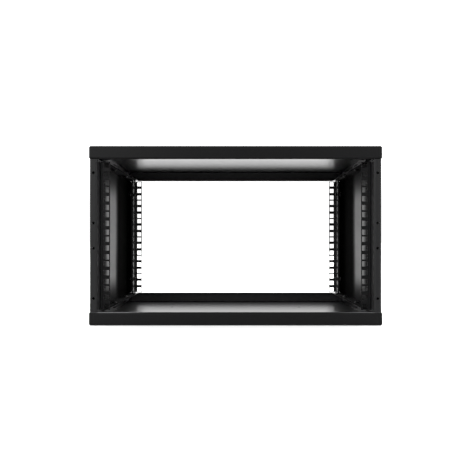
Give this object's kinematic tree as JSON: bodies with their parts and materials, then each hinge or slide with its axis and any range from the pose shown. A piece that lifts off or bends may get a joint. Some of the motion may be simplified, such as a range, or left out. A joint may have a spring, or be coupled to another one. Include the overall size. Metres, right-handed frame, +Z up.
{
  "type": "flat pack rack",
  "caption": "Open 19 inch equipment rack frame of folded black steel, with bolted top and bottom trays, side panels, and square-hole rails at front and rear.",
  "frame": {"origin": "middle of the underside of the bottom tray", "axes": "+Z up, +X to the right seen from the front, -Y towards the front, where equipment goes in"},
  "size_m": [0.52, 0.4, 0.3185],
  "materials": {
    "frame_coat": "black satin powder coat, fine texture",
    "rail_coat": "black satin powder coat",
    "black_screws": "black passivated steel",
    "plated_nuts": "dull zinc plate"
  },
  "bodies": {
    "root": {"top_panel": "frame_coat", "bottom_panel": "frame_coat", "left_side_panel": "frame_coat", "right_side_panel": "frame_coat", "front_left_rail": "rail_coat", "front_right_rail": "rail_coat", "rear_left_rail": "rail_coat", "rear_right_rail": "rail_coat", "front_left_rail_screws": "black_screws", "front_left_rail_nuts": "plated_nuts", "front_right_rail_screws": "black_screws", "front_right_rail_nuts": "plated_nuts", "rear_left_rail_screws": "black_screws", "rear_left_rail_nuts": "plated_nuts", "rear_right_rail_screws": "black_screws", "rear_right_rail_nuts": "plated_nuts", "top_left_panel_bolts": "black_screws", "top_left_panel_nuts": "plated_nuts", "top_right_panel_bolts": "black_screws", "top_right_panel_nuts": "plated_nuts", "bottom_left_panel_bolts": "black_screws", "bottom_left_panel_nuts": "plated_nuts", "bottom_right_panel_bolts": "black_screws", "bottom_right_panel_nuts": "plated_nuts"}
  },
  "joints": []
}
